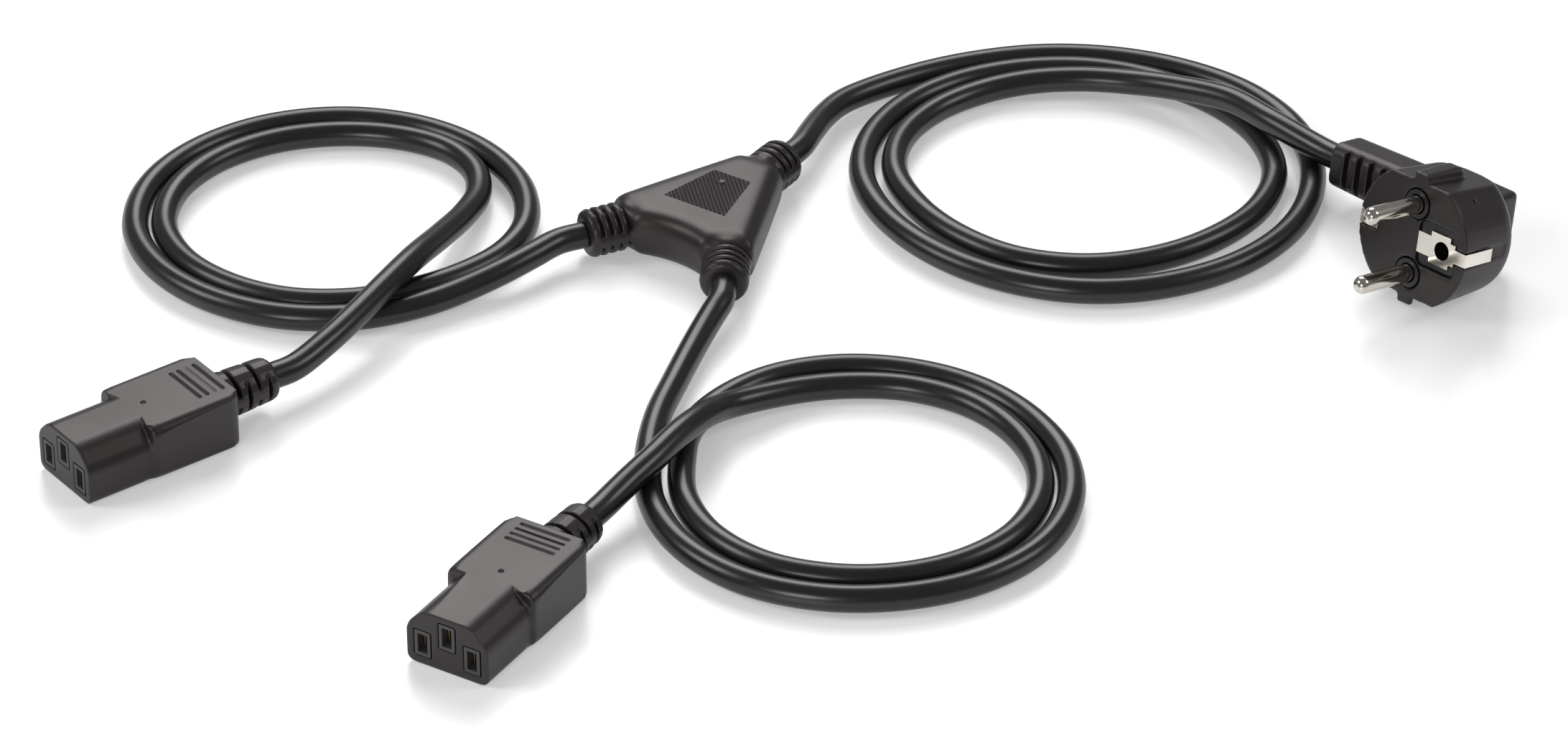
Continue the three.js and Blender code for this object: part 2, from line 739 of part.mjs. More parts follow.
function makePlugMoulding() {
  const back = -(bridge.plateFront + bridge.plateThickness);
  let body = joined([drum(), rails(), spine(), plugReliefSolid()]);
  body = body.subtract(bridgeSolid(gap)).subtract(stripRoom());
  for (const side of [-1, 1]) {
    body = body.subtract(rod(back - plug.pinShank - 2 * gap, over, plug.pinShankRadius + gap, 0,
      side * plug.pinSpread));
  }
  body = body.subtract(rod(-earth.sleeveDepth - gap, over, sleeveOuter + gap, plug.earthOffset, 0));
  return geometryOf(body);
}

function makePlug({ x, y, turn, lean, roll }) {
  const group = new THREE.Group();
  group.add(piece("plug_moulding", makePlugMoulding(), "moulding"));
  group.add(piece("plug_bridge", makeBridge(), "bridge"));
  group.add(piece("plug_pin_upper", makePin(1), "nickel"));
  group.add(piece("plug_pin_lower", makePin(-1), "nickel"));
  group.add(piece("plug_earth_socket", makeEarthSocket(), "nickel"));
  group.add(piece("plug_earth_strip", makeEarthStrip(), "nickel"));
  group.rotation.set(radians(roll), -radians(lean), radians(turn), "ZYX");
  group.position.set(x, y, 0);
  group.updateMatrixWorld(true);
  // Lowered until its lowest edge stands on the floor
  group.position.z = -new THREE.Box3().setFromObject(group, true).min.z;
  group.updateMatrixWorld(true);
  return group;
}

// A cord end: the point just clear of a relief's end face and the way out of it
function exitOf(group, point, direction) {
  group.updateMatrixWorld(true);
  const out = new THREE.Vector3(...direction).transformDirection(group.matrixWorld);
  const at = new THREE.Vector3(...point).applyMatrix4(group.matrixWorld);
  return { at: at.addScaledVector(out, gap), out };
}

function cordPath(start, route, end, straight) {
  const [mx, my] = route.middle;
  const points = [start.at, start.at.clone().addScaledVector(start.out, straight)];
  for (const [x, y, z] of route.before) {
    points.push(new THREE.Vector3(x, y, z));
  }
  for (const [angle, radius, z] of route.turns) {
    const turn = radians(angle);
    points.push(new THREE.Vector3(mx + radius * Math.cos(turn), my + radius * Math.sin(turn), z));
  }
  for (const [x, y, z] of route.after) {
    points.push(new THREE.Vector3(x, y, z));
  }
  points.push(end.at.clone().addScaledVector(end.out, straight), end.at);
  return new THREE.CatmullRomCurve3(points, false, "centripetal");
}

function makeCord(name, start, route, end) {
  const path = cordPath(start, route, end, cordDiameter);
  path.arcLengthDivisions = 1200;
  const section = new THREE.Shape();
  for (let i = 0; i < cordSides; i += 1) {
    const angle = ((i + 0.5) / cordSides) * 2 * Math.PI;
    const method = i === 0 ? "moveTo" : "lineTo";
    section[method]((cordDiameter / 2) * Math.cos(angle), (cordDiameter / 2) * Math.sin(angle));
  }
  const steps = Math.round(path.getLength() / cordStep);
  const geometry = new THREE.ExtrudeGeometry(section, { steps, extrudePath: path });
  return piece(name, geometry, "cord");
}

const splitter = new THREE.Group();
const junctionGroup = makeJunction();
const connectorA = makeConnector("a", place.connectorA);
const connectorB = makeConnector("b", place.connectorB);
const plugGroup = makePlug(place.plug);

function branchExit(side) {
  const turn = Math.PI - side * branchTurn;
  const out = [Math.cos(turn), Math.sin(turn), 0];
  return exitOf(junctionGroup, out.map((v) => v * junction.branchReach), out);
}

const trunkExit = exitOf(junctionGroup, [junction.trunkReach, 0, 0], [1, 0, 0]);
const plugExit = exitOf(plugGroup, [-plugRelief.depthAt, -plugRelief.reach, plugRelief.rise],
  [0, -1, 0]);
const connectorPoint = [connectorExit, 0, connectorRelief.axisHeight];

splitter.add(junctionGroup, connectorA, connectorB, plugGroup);
splitter.add(makeCord("cord_a", branchExit(1), routeA, exitOf(connectorA, connectorPoint, [1, 0, 0])));
splitter.add(makeCord("cord_b", branchExit(-1), routeB, exitOf(connectorB, connectorPoint, [1, 0, 0])));
splitter.add(makeCord("cord_plug", trunkExit, routePlug, plugExit));

export default splitter;
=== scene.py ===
import math
import bmesh
import bpy
from mathutils import Euler, Matrix, Vector


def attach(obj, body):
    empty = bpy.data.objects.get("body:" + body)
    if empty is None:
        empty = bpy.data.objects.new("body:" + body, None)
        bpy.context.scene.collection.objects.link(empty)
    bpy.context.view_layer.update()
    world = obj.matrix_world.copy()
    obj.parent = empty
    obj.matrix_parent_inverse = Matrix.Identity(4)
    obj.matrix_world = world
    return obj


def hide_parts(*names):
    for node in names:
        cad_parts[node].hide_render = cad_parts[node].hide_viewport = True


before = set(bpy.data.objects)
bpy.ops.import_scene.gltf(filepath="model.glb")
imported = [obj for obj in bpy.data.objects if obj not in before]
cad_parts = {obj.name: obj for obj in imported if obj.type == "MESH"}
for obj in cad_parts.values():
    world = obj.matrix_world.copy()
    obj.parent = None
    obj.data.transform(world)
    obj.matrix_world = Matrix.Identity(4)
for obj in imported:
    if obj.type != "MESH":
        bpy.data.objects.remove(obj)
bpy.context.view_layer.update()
mm = 0.001
print("frame loaded:", len(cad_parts), "nodes")


# Camera at the photograph's viewing angle
photoCamera = {
    "place": (-1.1841, -0.8199, 0.8921),
    "tilt": 57.0,
    "heading": -56.0,
    "lens": 148.35,
    "sensor": 36.0,
}


def placeCamera(values):
    data = bpy.data.cameras.new("photoCamera")
    data.lens = values["lens"]
    data.sensor_width = values["sensor"]
    data.sensor_fit = "HORIZONTAL"
    camera = bpy.data.objects.new("photoCamera", data)
    camera.location = values["place"]
    camera.rotation_euler = (math.radians(values["tilt"]), 0, math.radians(values["heading"]))
    bpy.context.scene.collection.objects.link(camera)
    bpy.context.scene.camera = camera
    bpy.context.scene.view_settings.view_transform = "Standard"


placeCamera(photoCamera)
print("camera placed")


# Node helpers
def newMaterial(name):
    material = bpy.data.materials.new(name)
    material.use_nodes = True
    nodes = material.node_tree.nodes
    links = material.node_tree.links
    return material, nodes, links, nodes["Principled BSDF"]


def addNode(nodes, kind, **settings):
    node = nodes.new(kind)
    for key, value in settings.items():
        setattr(node, key, value)
    return node


# Fine surface of moulded and drawn pieces: grain for the bump, a mottle for colour and gloss
def makeGrainGroup():
    group = bpy.data.node_groups.new("surfaceGrain", "ShaderNodeTree")
    for name, kind, default in (
        ("Vector", "NodeSocketVector", None),
        ("Grain Scale", "NodeSocketFloat", 2200.0),
        ("Mottle Scale", "NodeSocketFloat", 60.0),
    ):
        socket = group.interface.new_socket(name=name, in_out="INPUT", socket_type=kind)
        if default is not None:
            socket.default_value = default
    group.interface.new_socket(name="Grain", in_out="OUTPUT", socket_type="NodeSocketFloat")
    group.interface.new_socket(name="Mottle", in_out="OUTPUT", socket_type="NodeSocketFloat")
    source = group.nodes.new("NodeGroupInput")
    target = group.nodes.new("NodeGroupOutput")
    for scale, output, detail in (("Grain Scale", "Grain", 3.0), ("Mottle Scale", "Mottle", 5.0)):
        noise = group.nodes.new("ShaderNodeTexNoise")
        noise.inputs["Detail"].default_value = detail
        group.links.new(source.outputs["Vector"], noise.inputs["Vector"])
        group.links.new(source.outputs[scale], noise.inputs["Scale"])
        group.links.new(noise.outputs["Fac"], target.inputs[output])
    return group


# Rubbed edges: a mask of the edges and corners that handling lightens
def makeRubbedGroup():
    group = bpy.data.node_groups.new("rubbedEdges", "ShaderNodeTree")
    for name, default in (("Start", 0.52), ("End", 0.62)):
        socket = group.interface.new_socket(name=name, in_out="INPUT",
                                            socket_type="NodeSocketFloat")
        socket.default_value = default
    group.interface.new_socket(name="Rubbed", in_out="OUTPUT", socket_type="NodeSocketFloat")
    source = group.nodes.new("NodeGroupInput")
    target = group.nodes.new("NodeGroupOutput")
    geometry = group.nodes.new("ShaderNodeNewGeometry")
    ramp = group.nodes.new("ShaderNodeMapRange")
    group.links.new(geometry.outputs["Pointiness"], ramp.inputs["Value"])
    group.links.new(source.outputs["Start"], ramp.inputs["From Min"])
    group.links.new(source.outputs["End"], ramp.inputs["From Max"])
    group.links.new(ramp.outputs["Result"], target.inputs["Rubbed"])
    return group


grainGroup = makeGrainGroup()
rubbedGroup = makeRubbedGroup()


# A finish: colour between two shades, roughness between two values, fine bump, rubbed edges
def makeFinish(name, values):
    material, nodes, links, shader = newMaterial(name)
    place = addNode(nodes, "ShaderNodeTexCoord")
    grain = addNode(nodes, "ShaderNodeGroup", node_tree=grainGroup)
    grain.inputs["Grain Scale"].default_value = values["grainScale"]
    grain.inputs["Mottle Scale"].default_value = values["mottleScale"]
    links.new(place.outputs["Object"], grain.inputs["Vector"])
    shades = addNode(nodes, "ShaderNodeMix", data_type="RGBA")
    shades.inputs["A"].default_value = (*values["dark"], 1)
    shades.inputs["B"].default_value = (*values["light"], 1)
    links.new(grain.outputs["Mottle"], shades.inputs["Factor"])
    rubbed = addNode(nodes, "ShaderNodeGroup", node_tree=rubbedGroup)
    worn = addNode(nodes, "ShaderNodeMix", data_type="RGBA")
    worn.inputs["B"].default_value = (*values["worn"], 1)
    links.new(rubbed.outputs["Rubbed"], worn.inputs["Factor"])
    links.new(shades.outputs["Result"], worn.inputs["A"])
    links.new(worn.outputs["Result"], shader.inputs["Base Color"])
    gloss = addNode(nodes, "ShaderNodeMapRange")
    gloss.inputs["To Min"].default_value = values["roughness"][0]
    gloss.inputs["To Max"].default_value = values["roughness"][1]
    links.new(grain.outputs["Mottle"], gloss.inputs["Value"])
    links.new(gloss.outputs["Result"], shader.inputs["Roughness"])
    bump = addNode(nodes, "ShaderNodeBump")
    bump.inputs["Strength"].default_value = values["bump"]
    bump.inputs["Distance"].default_value = values["bumpDepth"] * mm
    links.new(grain.outputs["Grain"], bump.inputs["Height"])
    links.new(bump.outputs["Normal"], shader.inputs["Normal"])
    shader.inputs["Metallic"].default_value = values["metallic"]
    shader.inputs["Specular IOR Level"].default_value = values["specular"]
    shader.inputs["Specular Tint"].default_value = (*values.get("sheenTint", (1, 1, 1)), 1)
    return material


finishes = {
    "moulding": makeFinish("mouldedPvc", {
        "dark": (0.012, 0.0098, 0.0098), "light": (0.021, 0.0174, 0.0172),
        "worn": (0.034, 0.029, 0.028), "roughness": (0.34, 0.44), "grainScale": 2600.0,
        "mottleScale": 70.0, "bump": 0.22, "bumpDepth": 0.04, "metallic": 0.0, "specular": 0.5,
        "sheenTint": (1.0, 0.93, 0.92),
    }),
    "carrier": makeFinish("carrierPlastic", {
        "dark": (0.05, 0.047, 0.05), "light": (0.072, 0.068, 0.072),
        "worn": (0.075, 0.07, 0.072), "roughness": (0.42, 0.54), "grainScale": 2000.0,
        "mottleScale": 90.0, "bump": 0.25, "bumpDepth": 0.04, "metallic": 0.0, "specular": 0.5,
    }),
    # The bridge's shades are darker than the moulding's: painted shade of the plug's face, which
    # turns away from the light
    "bridge": makeFinish("bridgePlasticPaintedShade", {
        "dark": (0.008, 0.0075, 0.0085), "light": (0.014, 0.013, 0.0145),
        "worn": (0.026, 0.024, 0.026), "roughness": (0.3, 0.4), "grainScale": 1800.0,
        "mottleScale": 80.0, "bump": 0.2, "bumpDepth": 0.03, "metallic": 0.0, "specular": 0.5,
    }),
    "cord": makeFinish("cordJacket", {
        "dark": (0.0085, 0.0075, 0.008), "light": (0.0145, 0.0128, 0.0134),
        "worn": (0.017, 0.015, 0.0155), "roughness": (0.25, 0.33), "grainScale": 1500.0,
        "mottleScale": 45.0, "bump": 0.12, "bumpDepth": 0.03, "metallic": 0.0, "specular": 0.55,
    }),
    "nickel": makeFinish("nickelPlate", {
        "dark": (0.56, 0.53, 0.47), "light": (0.7, 0.67, 0.61),
        "worn": (0.78, 0.75, 0.69), "roughness": (0.1, 0.17), "grainScale": 900.0,
        "mottleScale": 60.0, "bump": 0.03, "bumpDepth": 0.01, "metallic": 1.0, "specular": 0.5,
    }),
    "brass": makeFinish("stampedBrass", {
        "dark": (0.36, 0.24, 0.07), "light": (0.5, 0.36, 0.13),
        "worn": (0.58, 0.44, 0.2), "roughness": (0.3, 0.45), "grainScale": 900.0,
        "mottleScale": 140.0, "bump": 0.15, "bumpDepth": 0.03, "metallic": 1.0, "specular": 0.5,
    }),
}
print("finishes made:", len(finishes))


def addPiece(name, mesh, finish):
    piece = bpy.data.objects.new(name, mesh)
    bpy.context.scene.collection.objects.link(piece)
    piece.data.materials.clear()
    piece.data.materials.append(finishes[finish])
    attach(piece, "root")
    return piece


# How every copy of a CAD node is merged, flattened and eased
copyValues = {"merge": 0.002, "flat": 0.6, "sharp": 38.0, "segments": 2, "smoothing": 0.5}


# The loose triangles of a CAD node, merged
def mergedShape(node):
    shape = bmesh.new()
    shape.from_mesh(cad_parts[node].data)
    bmesh.ops.remove_doubles(shape, verts=shape.verts, dist=copyValues["merge"] * mm)
    return shape


def flattenShape(shape):
    bmesh.ops.dissolve_limit(shape, angle_limit=math.radians(copyValues["flat"]),
                             verts=shape.verts, edges=shape.edges)


# Rounds the outer edges of a shape for which the test holds
def roundEdges(shape, test, width, segments, least, angle=25.0):
    chosen = [e for e in shape.edges
              if len(e.link_faces) == 2 and e.calc_length() > least * mm and e.is_convex
              and e.calc_face_angle(0) > math.radians(angle) and test(e)]
    bmesh.ops.bevel(shape, geom=chosen, offset=width * mm, offset_type="OFFSET",
                    affect="EDGES", segments=segments, profile=0.5, material=-1,
                    clamp_overlap=True)


# A merged copy of a CAD node with its hard edges eased
def easedCopy(node, name, finish, edge):
    mesh = bpy.data.meshes.new(name)
    sharp = math.radians(copyValues["sharp"])
    shape = mergedShape(node)
    flattenShape(shape)
    shape.to_mesh(mesh)
    shape.free()
    mesh.shade_smooth()
    mesh.set_sharp_from_angle(angle=sharp)
    piece = addPiece(name, mesh, finish)
    if edge:
        easing = piece.modifiers.new("easedEdges", "BEVEL")
        easing.width = edge * mm
        easing.segments = copyValues["segments"]
        easing.limit_method = "ANGLE"
        easing.angle_limit = sharp
    levelling = piece.modifiers.new("levelFaces", "WEIGHTED_NORMAL")
    levelling.weight = 100
    levelling.keep_sharp = True
    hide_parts(node)
    return piece


# A moulded body: the CAD node remeshed finely, its edges softened all over,
# and more where the test holds
def softMoulding(node, name, values, test, shaping=None, turn=0.0):
    rough = bpy.data.objects.new(name + "Rough", bpy.data.meshes.new(name + "Rough"))
    bpy.context.scene.collection.objects.link(rough)
    shape = mergedShape(node)
    if shaping:
        flattenShape(shape)
        shaping(shape)
    level = Matrix.Rotation(math.radians(turn), 3, "Z")  # grooves run along the fine mesh
    bmesh.ops.rotate(shape, verts=shape.verts, matrix=level.transposed())
    shape.to_mesh(rough.data)
    shape.free()
    remesh = rough.modifiers.new("fineMesh", "REMESH")
    remesh.mode = "VOXEL"
    remesh.voxel_size = values["voxel"] * mm
    graph = bpy.context.evaluated_depsgraph_get()
    mesh = bpy.data.meshes.new_from_object(rough.evaluated_get(graph))
    mesh.name = name
    bpy.data.objects.remove(rough)
    shape = bmesh.new()
    shape.from_mesh(mesh)
    bmesh.ops.rotate(shape, verts=shape.verts, matrix=level)
    soft = [v for v in shape.verts if test(v.co)]
    for verts, rounds in ((soft, values["softRounds"]), (shape.verts[:], values["rounds"])):
        for _ in range(rounds):
            bmesh.ops.smooth_vert(shape, verts=verts, factor=copyValues["smoothing"],
                                  use_axis_x=True, use_axis_y=True, use_axis_z=True)
    bmesh.ops.recalc_face_normals(shape, faces=shape.faces)
    shape.to_mesh(mesh)
    shape.free()
    mesh.shade_smooth()
    piece = addPiece(name, mesh, "moulding")
    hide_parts(node)
    print(name, "faces", len(mesh.polygons))
    return piece


# Junction with its knurled patch
junctionValues = {
    "voxel": 0.36,
    "softRounds": 46,
    "rounds": 3,
    "meeting": (9.148, 0.0, 7.0),
    "necks": ((0.0, 11.9), (150.0, 33.1), (210.0, 33.1)),
    "trunkReach": 22.3,
    "branchReach": 43.8,
    "top": 14.0,
    "patchWide": (-10.2, 9.5),
    "patchNarrow": (7.4, 5.7),
    "patchSink": 0.02,
    "patchTurn": 45.0,
    "cells": 40,
    "pitch": 1.0,
    "pointHeight": 0.3,
    "gateDot": (3.3, 0.5),
    "gateRadius": 0.9,
    "gateTaper": 0.75,
    "gateSegments": 20,
}


# A grid of four-sided points, trimmed to the patch's outline, with the gate's dot on it
def makeKnurling(values):
    (xWide, yWide), (xNarrow, yNarrow) = values["patchWide"], values["patchNarrow"]
    top = (values["top"] - values["patchSink"]) * mm
    cells = values["cells"]
    turn = Matrix.Rotation(math.radians(values["patchTurn"]), 3, "Z")
    shape = bmesh.new()
    bmesh.ops.create_grid(shape, x_segments=cells, y_segments=cells,
                          size=cells * values["pitch"] * mm / 2)
    bmesh.ops.rotate(shape, verts=shape.verts, matrix=turn)
    bmesh.ops.poke(shape, faces=shape.faces, offset=values["pointHeight"] * mm)
    slope = Vector((yWide - yNarrow, xNarrow - xWide, 0)).normalized()
    for point, outward in (
        ((xWide, 0, 0), Vector((-1, 0, 0))),
        ((xNarrow, 0, 0), Vector((1, 0, 0))),
        ((xWide, yWide, 0), slope),
        ((xWide, -yWide, 0), Vector((slope.x, -slope.y, 0))),
    ):
        bmesh.ops.bisect_plane(shape, geom=shape.verts[:] + shape.edges[:] + shape.faces[:],
                               plane_co=Vector(point) * mm, plane_no=outward, clear_outer=True)
    dotX, dotY = values["gateDot"]
    dotPlace = Matrix.Translation(Vector((dotX, dotY, values["pointHeight"])) * mm)
    bmesh.ops.create_cone(shape, cap_ends=True, segments=values["gateSegments"],
                          radius1=values["gateRadius"] * mm,
                          radius2=values["gateRadius"] * values["gateTaper"] * mm,
                          depth=values["pointHeight"] * mm, matrix=dotPlace)
    bmesh.ops.translate(shape, verts=shape.verts, vec=(0, 0, top))
    mesh = bpy.data.meshes.new("knurledPatch")
    shape.to_mesh(mesh)
    shape.free()
    addPiece("knurledPatch", mesh, "moulding")


# The body between the three necks, without their grooves
def betweenNecks(point):
    away = point / mm - Vector(junctionValues["meeting"])
    return all(
        away.x * math.cos(math.radians(angle)) + away.y * math.sin(math.radians(angle)) < root
        for angle, root in junctionValues["necks"])


softMoulding("junction_moulding", "junctionBody", junctionValues, betweenNecks)
makeKnurling(junctionValues)
print("junction made")


# Appliance connectors, each with its place and its turn on the floor
connectorValues = {
    "voxel": 0.27, "rounds": 1, "softRounds": 36, "carrier": 0.15, "contact": 0.0,
    "noseLength": 18.6, "noseCorner": 2.2, "bodyEnd": 45.2, "bodyHalf": 9.6, "cornerReach": 2.6,
    "noseSegments": 5, "noseLeast": 8.0, "cordHeight": 8, "cordReach": 61.0,
    "a": (-187.3, 66.3, -18.4), "b": (-198.1, -58.9, 2.8),
}


def makeConnector(letter, values):
    name = "connector" + letter.upper()
    node = "connector_" + letter
    x, y, turn = values[letter]
    along = Vector((math.cos(math.radians(turn)), math.sin(math.radians(turn)), 0))
    face = Vector((x, y, 0)) * mm

    # Edges that run along the nose
    def onNose(edge):
        a, b = (v.co for v in edge.verts)
        reach = max((a - face).dot(along), (b - face).dot(along))
        return (abs((b - a).normalized().dot(along)) > 0.98
                and reach < (values["noseLength"] + 1) * mm)

    def roundNose(shape):
        roundEdges(shape, onNose, values["noseCorner"], values["noseSegments"],
                   values["noseLeast"])

    # The upright corners at both ends of the body
    def atCorner(point):
        away = (point - face) / mm
        reach = away.dot(along)
        across = abs(away.x * along.y - away.y * along.x)
        nearEnd = min(abs(reach - values["noseLength"]), abs(reach - values["bodyEnd"]))
        return across > values["bodyHalf"] and nearEnd < values["cornerReach"]

    pieces = [
        softMoulding(node + "_moulding", name + "Body", values, atCorner, roundNose, turn),
        easedCopy(node + "_carrier", name + "Carrier", "carrier", values["carrier"]),
    ]
    for part in ("line", "neutral", "earth"):
        pieces.append(easedCopy(node + "_contact_" + part, name + part.capitalize() + "Contact",
                                "brass", values["contact"]))
    return pieces


connectorA = makeConnector("a", connectorValues)
connectorB = makeConnector("b", connectorValues)
print("connectors made")


# Angled mains plug
plugValues = {
    "voxel": 0.36, "rounds": 6, "softRounds": 0,
    "bridge": 0.15, "socket": 0.1, "strip": 0.08,
    "middle": (73.4, -165.9, 18.395), "turn": (3.6, -10.95, 165.6),
    "exit": (-25, -46.5, 0.2), "outward": (0, -1, 0),
    "pinRadius": 2.4, "pinLength": 19.0, "pinRoot": -8.0, "shankRadius": 1.9, "shankBack": -15.0,
    "pinSpread": 9.5, "tipRadius": 2.1, "tipSteps": 8, "pinSegments": 40, "pinSharp": 50.0,
}


def plugTurn(values):
    return Euler([math.radians(a) for a in values["turn"]], "XYZ").to_matrix()


# A round pin with a domed tip, spun about its own axis
def makePin(name, node, side, values):
    r, tip = values["pinRadius"], values["tipRadius"]
    outline = [(values["shankBack"], 0), (values["shankBack"], values["shankRadius"]),
               (values["pinRoot"], values["shankRadius"]), (values["pinRoot"], r)]
    for step in range(values["tipSteps"] + 1):
        angle = math.radians(90 * step / values["tipSteps"])
        outline.append((values["pinLength"] - tip + tip * math.sin(angle),
                        r - tip + tip * math.cos(angle)))
    outline.append((values["pinLength"], 0))
    shape = bmesh.new()
    verts = [shape.verts.new((x * mm, y * mm, 0)) for x, y in outline]
    edges = [shape.edges.new(pair) for pair in zip(verts, verts[1:])]
    bmesh.ops.spin(shape, geom=verts + edges, cent=(0, 0, 0), axis=(1, 0, 0),
                   angle=math.radians(360), steps=values["pinSegments"], use_merge=True)
    bmesh.ops.remove_doubles(shape, verts=shape.verts, dist=0.001 * mm)
    bmesh.ops.recalc_face_normals(shape, faces=shape.faces)
    bmesh.ops.translate(shape, verts=shape.verts, vec=(0, 0, side * values["pinSpread"] * mm))
    place = Matrix.Translation(Vector(values["middle"]) * mm) @ plugTurn(values).to_4x4()
    bmesh.ops.transform(shape, matrix=place, verts=shape.verts)
    mesh = bpy.data.meshes.new(name)
    shape.to_mesh(mesh)
    shape.free()
    mesh.shade_smooth()
    mesh.set_sharp_from_angle(angle=math.radians(values["pinSharp"]))
    piece = addPiece(name, mesh, "nickel")
    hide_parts(node)
    return piece


def makePlug(values):
    return [
        softMoulding("plug_moulding", "plugBody", values, lambda point: False),
        # The bridge's finish carries painted shade on the plug's face
        easedCopy("plug_bridge", "plugBridge", "bridge", values["bridge"]),
        makePin("plugPinUpper", "plug_pin_upper", 1, values),
        makePin("plugPinLower", "plug_pin_lower", -1, values),
        easedCopy("plug_earth_socket", "earthSocket", "nickel", values["socket"]),
        easedCopy("plug_earth_strip", "earthStrip", "nickel", values["strip"]),
    ]


plugPieces = makePlug(plugValues)
print("plug made")


# Cords: leads and loops as the photograph shows them, in millimetres. A turn is the angle
# round the loop's middle, the radius and the height; low is a cord that lies on the floor.
low = 3.6
cordValues = {"diameter": 7.0, "step": 2.0, "straight": 7.0, "clear": 0.3, "roundness": 5}
cordA = {
    "middle": (-54.4, 85.5),
    "before": [(-44.5, 27.4, 6.8), (-54, 30, 6)],
    "turns": [
        (260, 52.4, 4.8), (246, 50.4, 3.9), (226, 49.6, low), (202, 49.2, low), (178, 49.2, low),
        (154, 50, low), (130, 51, low), (106, 51, low), (82, 50.4, low), (58, 50.1, low),
        (34, 50.1, low), (10, 50.3, low), (-14, 50.8, low), (-38, 51.6, low), (-60, 51.4, low),
        (-78, 49.2, low), (-96, 45.6, low), (-114, 42.9, low), (-134, 42, low), (-158, 41.6, low),
        (-182, 41.5, low), (-206, 42.4, low), (-230, 43.4, low), (-254, 43.4, low),
        (-278, 42.9, low), (-302, 42.4, low), (-326, 42.5, low), (-348, 43.7, low),
        (-367, 44.8, low), (-384, 43.5, low), (-400, 39.8, 3.8),
    ],
    "after": [(-36, 55.5, 5.2), (-51, 51.8, 7.8), (-67, 48.5, 10.5), (-82, 46, 11.2),
              (-97, 44.3, 10.6), (-110, 43.8, 9.4)],
}
cordB = {
    "middle": (-78.4, -98.5),
    "before": [(-40.5, -26.6, 6), (-51.5, -29.2, 4.6)],
    "turns": [
        (81, 64.9, 3.8), (97, 58.4, low), (115, 54.5, low), (136, 53.6, low), (158, 53.6, low),
        (180, 53.2, low), (202, 52, low), (224, 51.2, low), (246, 51.5, low), (268, 51.7, low),
        (290, 51, low), (312, 50.2, low), (334, 49.2, low), (356, 49.3, low), (378, 49.7, low),
        (400, 50.6, low), (420, 51.1, low), (438, 50.3, low), (456, 49, low), (475, 46, low),
        (496, 45.4, low), (518, 45.2, low), (540, 44.7, low), (562, 43.4, low), (584, 42.8, low),
        (606, 42.9, low), (628, 43.3, low), (650, 43.2, low), (672, 42.8, low), (694, 42.4, low),
        (716, 42.5, low), (738, 42.3, low), (758, 42.2, low), (776, 42.6, 4),
    ],
    "after": [(-73.4, -54.4, 6.4), (-85.4, -54.6, 9.7), (-97.4, -55.4, 11.2),
              (-109.4, -56, 10.6), (-119.4, -55.6, 9.3)],
}
cordPlug = {
    "middle": (76.1, -64.5),
    "before": [(48, 2.5, 6.4), (58, 5.1, 5.4)],
    "turns": [
        (96, 70.6, 4.8), (80, 65.7, 3.9), (62, 61.9, low), (42, 59.8, low), (22, 59, low),
        (2, 59.5, low), (-18, 61, low), (-40, 62, low), (-62, 61.8, low), (-84, 62, low),
        (-106, 61.8, low), (-128, 61.2, low), (-148, 60.4, low), (-168, 58.8, low),
        (-188, 57.5, low), (-210, 57.2, low), (-232, 57.8, low), (-252, 57.4, low),
        (-272, 56.3, low), (-292, 54.8, low), (-312, 52.9, 3.9), (-332, 51.8, 3.9),
        (-352, 51.2, low), (-374, 50.9, low), (-396, 51.2, low), (-418, 51.6, low),
        (-440, 50.4, low), (-462, 48.8, low), (-484, 48.4, low), (-506, 48.8, low),
        (-528, 48.6, low), (-550, 47.4, low), (-572, 47.4, low), (-594, 49, low),
        (-614, 49.3, low), (-634, 48.4, low), (-652, 47, 3.9), (-670, 45.5, 4.6),
        (-688, 44.4, 5.2), (-706, 44.1, 6), (-724, 44.7, 7.8),
    ],
    "after": [(119.2, -85, 10.6), (114.2, -100.5, 11.5)],
}


# A cord end just clear of a relief, and the way out of it
def levelEnd(point, angle, reach):
    out = Vector((math.cos(math.radians(angle)), math.sin(math.radians(angle)), 0))
    return Vector(point) + out * (reach + cordValues["clear"]), out


def plugEnd(values):
    turn = plugTurn(values)
    out = turn @ Vector(values["outward"])
    point = Vector(values["middle"]) + turn @ Vector(values["exit"])
    return point + out * cordValues["clear"], out


def connectorEnd(letter):
    x, y, turn = connectorValues[letter]
    return levelEnd((x, y, connectorValues["cordHeight"]), turn, connectorValues["cordReach"])


# The points that a smooth cord follows through its given points, evenly close together
def smoothRoute(points, step):
    ends = [points[0] * 2 - points[1], *points, points[-1] * 2 - points[-2]]
    route = []
    for a, b, c, d in zip(ends, ends[1:], ends[2:], ends[3:]):
        ta = 0.0
        tb = ta + (b - a).length ** 0.5
        tc = tb + (c - b).length ** 0.5
        td = tc + (d - c).length ** 0.5
        count = max(2, round((c - b).length / step))
        for i in range(count):
            t = tb + (tc - tb) * i / count
            ab = a * ((tb - t) / (tb - ta)) + b * ((t - ta) / (tb - ta))
            bc = b * ((tc - t) / (tc - tb)) + c * ((t - tb) / (tc - tb))
            cd = c * ((td - t) / (td - tc)) + d * ((t - tc) / (td - tc))
            abc = ab * ((tc - t) / (tc - ta)) + bc * ((t - ta) / (tc - ta))
            bcd = bc * ((td - t) / (td - tb)) + cd * ((t - tb) / (td - tb))
            route.append(abc * ((tc - t) / (tc - tb)) + bcd * ((t - tb) / (tc - tb)))
    route.append(points[-1])
    return route


